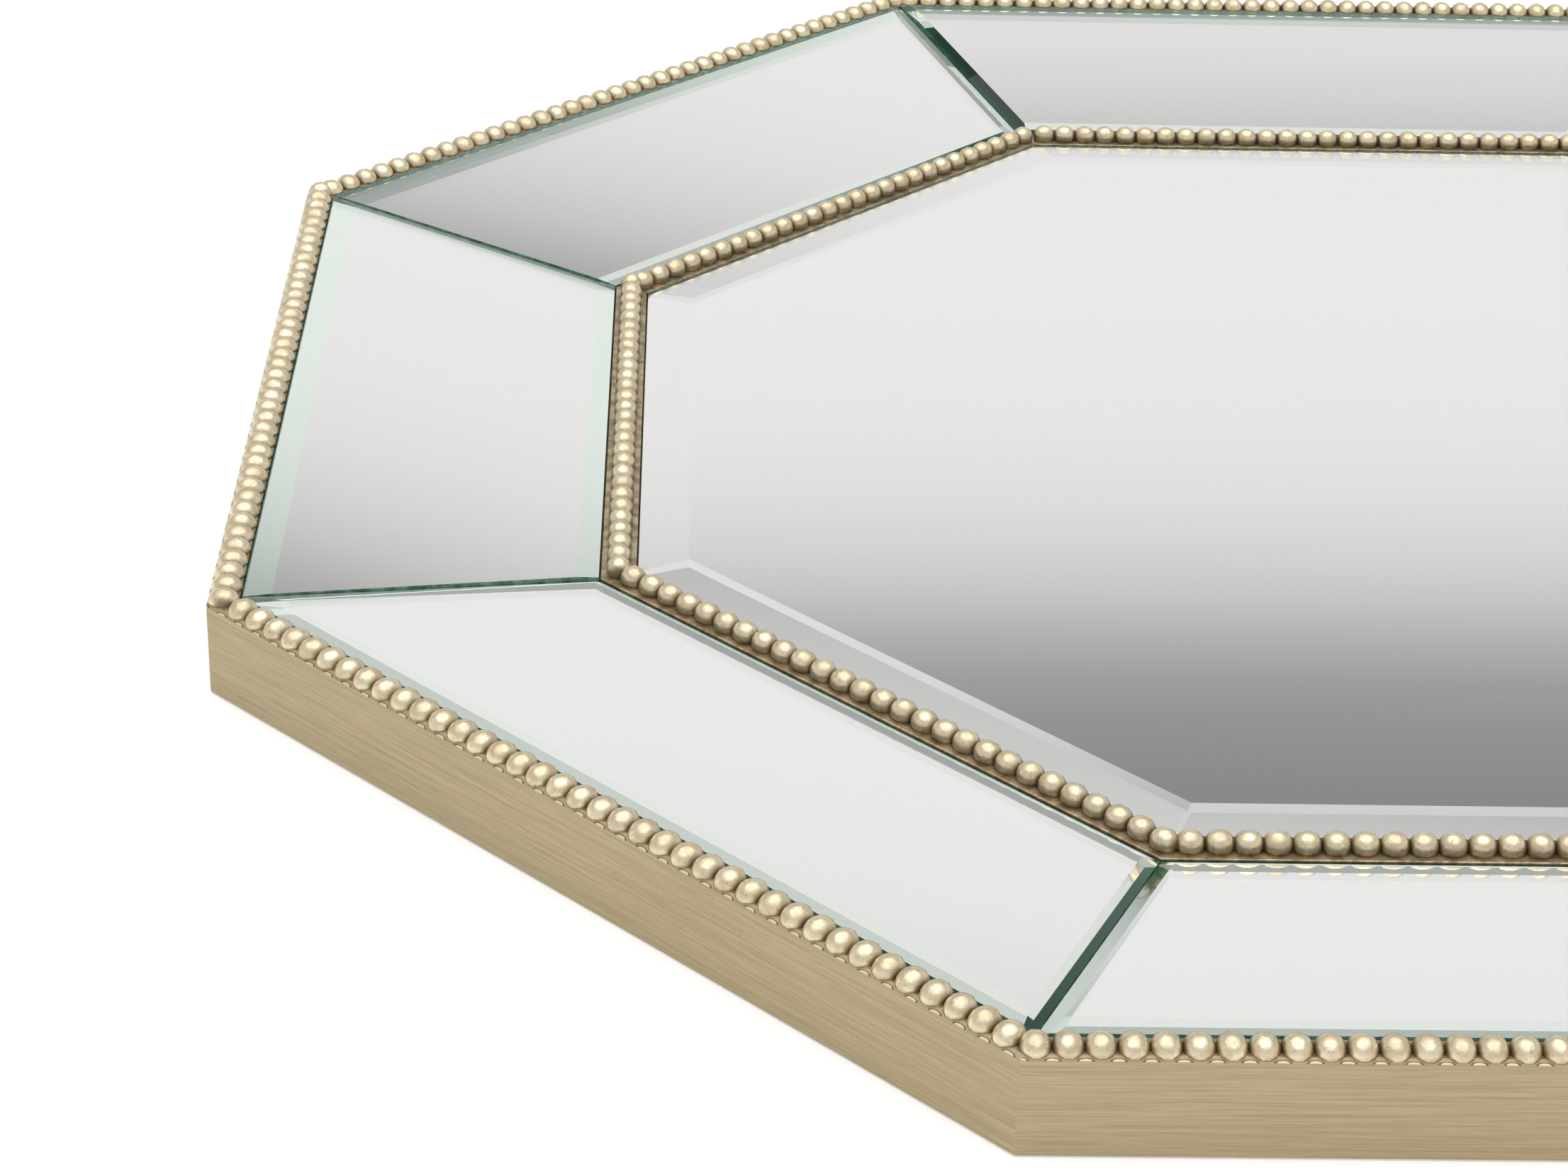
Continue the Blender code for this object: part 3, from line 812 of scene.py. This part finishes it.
# ---- mouldings ----------------------------------------------------------------------------------------------
@dataclass
class Moulding:
    """A mitred moulding round the octagon, with a row of beads on top.

    Attributes:
        label: The start of its pieces' names.
        node: The start of the names of the CAD nodes that it stands for.
        pitches: Bead pitches along one side.
        bead_height: Height of the beads' middles.
        first_beads: For each side, where the first bead stands, in pitches from the side's first corner.
        corner_radius: Radius of the outer upright edge at each mitre.
        palette: The tray's materials.
        beads: What makes the rows of beads.
        bead_inset: How far inside the bead line the beads' middles are.
        bead_shape: A bead's length along the row, width and height, for a round bead of one.
        corner_steps: Faces in half of the rounded edge at a mitre.
    """

    label: str
    node: str
    pitches: int
    bead_height: float
    first_beads: tuple[float, ...]
    corner_radius: float
    palette: Palette
    beads: BeadRow
    bead_inset: float = 0.0
    bead_shape: tuple[float, float, float] = (1.07, 1.0, 1.0)
    corner_steps: int = 4

    @property
    def bead_line(self) -> float:
        """Apothem of the line that the beads stand on."""
        return self.pitches * self.beads.pitch / (2 * SLOPE)

    def profile(self) -> list[Point]:
        """Outline of the moulding as (apothem, height); each moulding gives its own."""
        raise NotImplementedError

    def is_plain(self, apothem: float, height: float) -> bool:
        """Whether a face with this middle is brushed paint and not leaf."""
        raise NotImplementedError

    def plan_point(self, apothem: float, wall: float, station: float) -> Point:
        """Find where a line of the profile runs in plan.

        Args:
            apothem: The line's distance from the tray's axis.
            wall: The outermost apothem of the moulding.
            station: From -1 at the first mitre to 1 at the last; past CORNER_START it turns round the corner.

        Returns:
            The point as x and apothem.
        """
        turning = max(0.0, abs(station) - CORNER_START) / (1 - CORNER_START) * HALF_ANGLE
        side = 1 if station > 0 else -1
        pivot = wall - self.corner_radius
        if apothem <= pivot:
            return side * apothem * SLOPE, apothem
        reach = apothem - pivot
        return side * (pivot * SLOPE + reach * sin(turning)), pivot + reach * cos(turning)

    def body_mesh(self, first_bead: float) -> bmesh.types.BMesh:
        """Loft the profile along side 1 and store each point's place on the moulding."""
        profile = self.profile()
        wall = max(apothem for apothem, _ in profile)
        corner = 1 - CORNER_START
        stations = [-1 + corner * step / self.corner_steps for step in range(self.corner_steps + 1)]
        stations += [-station for station in reversed(stations)]
        bm = bmesh.new()
        layer = bm.verts.layers.float_vector.new(RAIL_PLACE)
        origin = first_bead * self.beads.pitch - self.bead_line * SLOPE
        rings = []
        for station in stations:
            ring = []
            for apothem, height in profile:
                x, out = self.plan_point(apothem, wall, station)
                vertex = bm.verts.new((x, -out, height))
                vertex[layer] = ((x - origin) / self.beads.pitch, apothem - self.bead_line,
                                 height - self.bead_height)
                ring.append(vertex)
            rings.append(ring)
        count = len(profile)
        for near, far in zip(rings, rings[1:]):
            for here in range(count):
                after = (here + 1) % count
                face = bm.faces.new((near[here], near[after], far[after], far[here]))
                middle = [(profile[here][axis] + profile[after][axis]) / 2 for axis in (0, 1)]
                face.material_index = 0 if self.is_plain(*middle) else 1
        bm.faces.new(rings[0])
        bm.faces.new(reversed(rings[-1]))
        return bm

    def build(self) -> None:
        """Make the body and the bead row of every side."""
        for side in range(1, SIDES + 1):
            first_bead = self.first_beads[side - 1]
            body = mesh_object(f"{self.label}_moulding_{side}", self.body_mesh(first_bead), turn_of(side),
                               [self.palette["paint"], self.palette["ledge"]])
            settle(body, Slot.LEAF, f"{self.node}_{side}")
            row = self.beads.build(f"{self.label}_beads_{side}", {
                "Pitches": self.pitches, "First Bead": first_bead, "Bead Line": self.bead_line,
                "Height": self.bead_height, "Inset": self.bead_inset, "Shape": self.bead_shape,
                "Turn": turn_of(side), "Seed": side + self.pitches,
                "Finish": self.palette["leaf"]})
            settle(row, Slot.LEAF, f"{self.node}_{side}")


@dataclass
class FrameRail(Moulding):
    """The outer frame: a plain wall, a ledge for the beads, and a shelf under the glass.

    Attributes:
        ledge_drop: From the top of the CAD node to the top of the wall.
        lip: From the bead line to the inner edge of the ledge.
        step_width: Width of the slope between the wall and the ledge.
        step_height: How far it rises.
        glass_clearance: From the seat up to the glass.
        edge_radius: Radius of the moulding's edges.
    """

    ledge_drop: float = 2.9 * MM
    lip: float = 3.4 * MM
    step_width: float = 1.2 * MM
    step_height: float = 0.3 * MM
    glass_clearance: float = 0.3 * MM
    edge_radius: float = 0.2 * MM

    def profile(self) -> list[Point]:
        """Outline from the foot up the wall, over the ledge, and down to the shelf."""
        low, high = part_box(f"{self.node}_1")
        wall, shelf = -low.y, -high.y
        inner = self.bead_line - self.lip
        foot, ledge = low.z, high.z - self.ledge_drop
        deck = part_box("panel_bed_1")[0].z
        step = ledge + self.step_height
        outline = [(wall, foot), (wall, ledge), (wall - self.step_width, step), (inner, step)]
        outline += [(inner, self.seat(inner)), (shelf, self.seat(shelf)), (shelf, deck), (inner, deck)]
        outline += [(inner, foot)]
        radius = self.edge_radius
        return rounded(outline, [radius] * 4 + [0.0] * 4 + [radius])

    def seat(self, apothem: float) -> float:
        """Height of the shelf, which runs on in the plane of the beds under the glass."""
        low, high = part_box("panel_bed_1")
        pane_low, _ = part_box("ring_mirror_1")
        inner_seat = pane_low.z - self.glass_clearance
        slope = (high.z - inner_seat) / (high.y - low.y)
        return inner_seat + (apothem + high.y) * slope

    def is_plain(self, apothem: float, height: float) -> bool:
        """The wall and the slope above it are painted; the ledge, shelf and inner faces are leaf."""
        low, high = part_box(f"{self.node}_1")
        top = high.z - self.ledge_drop + self.step_height - self.edge_radius / 2
        return apothem > -low.y - self.step_width and height < top


@dataclass
class BeadStrip(Moulding):
    """The inner octagon: a low strip with a narrow ledge on both sides of its beads.

    Attributes:
        ledge_drop: From the top of the CAD node to the ledge.
        edge_radius: Radius of the ledge's edges.
    """

    ledge_drop: float = 3.55 * MM
    edge_radius: float = 0.2 * MM

    def profile(self) -> list[Point]:
        """Outline of a low upright strip."""
        low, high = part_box(f"{self.node}_1")
        outer, inner = -low.y, -high.y
        foot, ledge = low.z, high.z - self.ledge_drop
        radius = self.edge_radius
        outline = [(outer, foot), (outer, ledge), (inner, ledge), (inner, foot)]
        return rounded(outline, [0.0, radius, radius, 0.0])

    def is_plain(self, apothem: float, height: float) -> bool:
        """All of the strip is leaf."""
        return False


# ---- mirrors ------------------------------------------------------------------------------------------------
class PaneFace(Enum):
    """Material slots of a pane, each named for its usual finish."""

    FRONT = "glass"
    BEVEL = "bevel"
    EDGE = "edge"
    BACK = "silver"

    @property
    def slot(self) -> int:
        """Number of the slot."""
        return list(PaneFace).index(self)


@dataclass(frozen=True)
class Bevel:
    """A bevel along one edge of a pane: how wide it is, and how far it falls."""

    width: float
    drop: float


@dataclass(frozen=True)
class PanePlan:
    """A pane to cut: its corners anticlockwise from above, a bevel for each edge, and its front plane.

    Attributes:
        corners: The corners in plan.
        bevels: For each corner, the bevel of the edge that runs to the next one.
        height: Height of the front plane at y = 0.
        fall: How far the front plane falls for each metre along Y.
        thickness: Thickness of the glass, measured upright.
        bevel_finish: The finish of the bevels.
    """

    corners: list[Point]
    bevels: list[Bevel]
    height: float
    fall: float
    thickness: float
    bevel_finish: str = PaneFace.BEVEL.value

    def front(self, place: Vector, depth: float = 0.0) -> Vector:
        """Return the point of the front plane over a place in plan, or one at a depth below it."""
        return Vector((place.x, place.y, self.height - self.fall * place.y - depth))

    def blank(self) -> bmesh.types.BMesh:
        """Return the pane before its bevels are cut."""
        bm = bmesh.new()
        places = [Vector(corner) for corner in self.corners]
        low = [bm.verts.new(self.front(place, self.thickness)) for place in places]
        high = [bm.verts.new(self.front(place)) for place in places]
        bm.faces.new(reversed(low)).material_index = PaneFace.BACK.slot
        bm.faces.new(high).material_index = PaneFace.FRONT.slot
        for here in range(len(places)):
            after = (here + 1) % len(places)
            bm.faces.new((low[here], low[after], high[after], high[here])).material_index = PaneFace.EDGE.slot
        return bm

    def cut(self) -> bmesh.types.BMesh:
        """Return the pane with its bevels."""
        bm = self.blank()
        for here, bevel in enumerate(self.bevels):
            start = Vector(self.corners[here])
            end = Vector(self.corners[(here + 1) % len(self.corners)])
            inwards = (end - start).normalized().orthogonal()
            rim = self.front(start, bevel.drop)
            along = self.front(end, bevel.drop) - rim
            across = self.front(start + inwards * bevel.width) - rim
            sliced = bmesh.ops.bisect_plane(bm, geom=[*bm.verts, *bm.edges, *bm.faces], dist=MERGE_DISTANCE,
                                            plane_co=rim, plane_no=along.cross(across), clear_outer=True)
            edges = [item for item in sliced["geom_cut"] if isinstance(item, bmesh.types.BMEdge)]
            for face in bmesh.ops.holes_fill(bm, edges=edges, sides=0)["faces"]:
                face.material_index = PaneFace.BEVEL.slot
        return bm


@dataclass
class Panes:
    """The bevelled mirrors, each a closed pane with a silvered back and ground edges.

    Attributes:
        gap: Clearance between two panes of the ring.
        thickness: Thickness of the glass.
        ring_outer: The broad bevel along the rail.
        steep: The steepest bevel of a ring pane's other edges.
        medium: One of the same width that falls less.
        gentle: The broadest and flattest one.
        centre: The bevel of the centre mirror.
    """

    palette: Palette
    gap: float = 0.3 * MM
    thickness: float = 2.0 * MM
    ring_outer: Bevel = Bevel(5.0 * MM, 0.25 * MM)
    steep: Bevel = Bevel(2.6 * MM, 0.95 * MM)
    medium: Bevel = Bevel(2.6 * MM, 0.6 * MM)
    gentle: Bevel = Bevel(3.9 * MM, 0.34 * MM)
    centre: Bevel = Bevel(9.4 * MM, 0.66 * MM)

    def ring_bevels(self, side: int) -> list[Bevel]:
        """Bevels of a side's pane: outer, right, inner and left; the far panes are ground more gently."""
        right = {6: self.gentle, 7: self.gentle, 2: self.medium, 3: self.medium}.get(side, self.steep)
        inner = self.gentle if 3 <= side <= 7 else self.steep
        left = {3: self.gentle, 4: self.gentle, 7: self.medium, 8: self.medium}.get(side, self.steep)
        return [self.ring_outer, right, inner, left]

    def ring_plan(self, side: int) -> PanePlan:
        """Plan of a side's pane as it lies on side 1, where it leans up and out."""
        low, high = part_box("ring_mirror_1")
        outer, inner = -low.y, -high.y
        front_inner = low.z + self.thickness
        rise = (high.z - front_inner) / (outer - self.ring_outer.width - inner)
        inset = self.gap / 2 / cos(HALF_ANGLE)
        corners = [(end * (apothem * SLOPE - inset), -apothem)
                   for end, apothem in ((-1, outer), (1, outer), (1, inner), (-1, inner))]
        return PanePlan(corners, self.ring_bevels(side), front_inner - rise * inner, rise, self.thickness)

    def centre_plan(self) -> PanePlan:
        """Plan of the level octagon in the middle."""
        low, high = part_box("centre_mirror")
        reach = high.y / cos(HALF_ANGLE)
        angles = [(2 * index + 1) * HALF_ANGLE for index in range(SIDES)]
        corners = [(reach * cos(angle), reach * sin(angle)) for angle in angles]
        return PanePlan(corners, [self.centre] * SIDES, high.z, 0.0, high.z - low.z, PaneFace.FRONT.value)

    def pane(self, name: str, plan: PanePlan, turn: float, *replaced: str) -> None:
        """Cut a pane from its plan, turn it to its side and settle it."""
        materials = [self.palette[face.value] for face in PaneFace]
        materials[PaneFace.BEVEL.slot] = self.palette[plan.bevel_finish]
        settle(mesh_object(name, plan.cut(), turn, materials, sharp_angle=radians(1)), Slot.MIRROR, *replaced)

    def build(self) -> None:
        """Make the ring of eight panes and the centre mirror."""
        for side in range(1, SIDES + 1):
            self.pane(f"ring_pane_{side}", self.ring_plan(side), turn_of(side), f"ring_mirror_{side}")
        self.pane("centre_pane", self.centre_plan(), 0.0, "centre_mirror")


# ---- hidden parts -------------------------------------------------------------------------------------------
@dataclass
class Underside:
    """The board, beds, pad, felt, splines and screws, which keep their CAD shapes in finishes of their own."""

    palette: Palette
    dressing: dict[str, str] = field(default_factory=lambda: {
        "felt_underlay": "felt", "base_board": "fibreboard", "mirror_pad": "foam", "panel_bed": "fibreboard",
        "corner_spline": "hardwood", "base_screw": "zinc"})

    def build(self) -> None:
        """Give each CAD node its material."""
        for name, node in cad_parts.items():
            for start, finish in self.dressing.items():
                if name.startswith(start):
                    self.dress(node, self.palette[finish])
                    log.info("%s: CAD shape, finished as %s", name, finish)

    @staticmethod
    def dress(node: bpy.types.Object, material: bpy.types.Material) -> None:
        """Put one material in every slot of a node."""
        for slot in node.material_slots:
            slot.material = material


# ---- studio -------------------------------------------------------------------------------------------------
@dataclass
class Studio:
    """White room with a card for the mirrors to show, pale floor and camera.

    Attributes:
        sky: Brightness of the room for some heights above the horizon, in degrees.
        card: Brightness of the white card behind the tray, for some heights above the floor.
        card_away: Distance from the tray's axis to the card.
        card_width: Width of the card.
        floor_size: Side of the floor.
        floor_colour: Colour of the floor.
        floor_glow: Light that the floor gives itself.
        camera_at: Where the camera stands.
        camera_turn: Its turn, in degrees.
        lens: Its focal length, in millimetres.
    """

    sky: tuple[Point, ...] = ((0.0, 0.86), (30.0, 0.86), (34.0, 0.28), (37.5, 0.28), (39.5, 1.15),
                              (44.0, 0.82), (50.0, 0.9), (56.0, 1.9), (90.0, 2.0))
    card: tuple[Point, ...] = ((0.0, 0.865), (0.29, 0.865), (0.345, 0.835), (0.38, 0.77), (0.405, 0.685),
                               (0.425, 0.59), (0.445, 0.46), (0.465, 0.36), (0.485, 0.31), (0.52, 0.265),
                               (0.6, 0.27))
    card_away: float = 0.7
    card_width: float = 3.0
    floor_size: float = 6.0
    floor_colour: Colour = (0.8, 0.8, 0.8)
    floor_glow: float = 0.35
    camera_at: tuple[float, float, float] = (-0.1445, -0.67652, 0.33694)
    camera_turn: tuple[float, float, float] = (61.639, -1.424, -0.974)
    lens: float = 86.46

    def build(self) -> None:
        """Make the room, the floor and the camera."""
        self.light_room()
        self.stand_card()
        self.lay_floor()
        self.place_camera()

    def light_room(self) -> None:
        """Light the scene by height above the horizon: brightest overhead, with a dim band low down."""
        scene = bpy.context.scene
        scene.view_settings.view_transform = "Standard"
        world = bpy.data.worlds.new("white_room")
        world.use_nodes = True
        bench = NodeBench(world.node_tree)
        upwards = bench.separated(bench.node("ShaderNodeTexCoord").outputs["Generated"])["Z"]
        level = bench.levels(upwards, [(sin(radians(height)), bright) for height, bright in self.sky])
        background = next(node for node in bench.tree.nodes if node.bl_idname == "ShaderNodeBackground")
        bench.feed(background.inputs["Color"], level)
        scene.world = world
        log.info("room: %d levels of light", len(self.sky))

    def stand_card(self) -> None:
        """Stand a bright card behind the tray, which the mirrors show and the camera doesn't."""
        bm = bmesh.new()
        top = self.card[-1][0]
        half = self.card_width / 2
        outline = ((-half, 0.0), (half, 0.0), (half, top), (-half, top))
        bm.faces.new([bm.verts.new((x, self.card_away, z)) for x, z in outline])
        material = bpy.data.materials.new("white_card")
        material.use_nodes = True
        bench = NodeBench(material.node_tree)
        upwards = bench.separated(bench.node("ShaderNodeTexCoord").outputs["Object"])["Z"]
        share = bench.math("DIVIDE", upwards, top)
        level = bench.levels(share, [(height / top, bright) for height, bright in self.card])
        glow = bench.node("ShaderNodeEmission")
        bench.feed(glow.inputs["Color"], level)
        output = next(node for node in bench.tree.nodes if node.bl_idname == "ShaderNodeOutputMaterial")
        bench.feed(output.inputs["Surface"], glow.outputs[0])
        card = mesh_object("card", bm, 0.0, [material])
        card.visible_camera = False
        card.visible_shadow = False
        log.info("card: %.2f m high", top)

    def lay_floor(self) -> None:
        """Lay a plain pale floor under the tray."""
        bm = bmesh.new()
        bmesh.ops.create_grid(bm, x_segments=1, y_segments=1, size=self.floor_size / 2)
        material, _, shader = Finish("pale_floor", self.floor_colour, 0.9).start()
        shader.inputs["Emission Color"].default_value = (1.0, 1.0, 1.0, 1.0)
        shader.inputs["Emission Strength"].default_value = self.floor_glow
        plane = mesh_object("floor", bm, 0.0, [material])
        log.info("floor: %.1f m square", self.floor_size)

    def place_camera(self) -> None:
        """Stand the camera low over the near left corner."""
        data = bpy.data.cameras.new("camera")
        data.lens = self.lens
        data.clip_start = 0.01
        camera = bpy.data.objects.new("camera", data)
        camera.location = self.camera_at
        camera.rotation_euler = Euler([radians(angle) for angle in self.camera_turn], "XYZ")
        bpy.context.scene.collection.objects.link(camera)
        bpy.context.scene.camera = camera
        log.info("camera: %.1f mm lens", self.lens)


def corners(box: tuple[Vector, Vector]) -> list[list[float]]:
    """Return a box's two corners as plain lists."""
    return [list(corner) for corner in box]


def main() -> None:
    """Build the studio and the tray."""
    logging.basicConfig(level=logging.INFO, format="%(message)s")
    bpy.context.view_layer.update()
    Studio().build()
    palette = Palette(Effects.make())
    beads = BeadRow()
    FrameRail(label="rail", node="frame_rail", pitches=39, bead_height=17.8 * MM,
              first_beads=(0.29, 0.2, 0.13, 0.3, 0.2, 0.26, -0.13, 1.2), corner_radius=1.2 * MM,
              palette=palette, beads=beads, bead_inset=0.7 * MM, bead_shape=(1.07, 1.23, 1.08)).build()
    BeadStrip(label="strip", node="bead_strip", pitches=27, bead_height=9.9 * MM,
              first_beads=(0.75, 0.1, 0.3, 0.2, 0.15, 0.32, -0.19, 0.83), corner_radius=0.3 * MM,
              palette=palette, beads=beads).build()
    Panes(palette).build()
    Underside(palette).build()


if __name__ == "__main__":
    main()
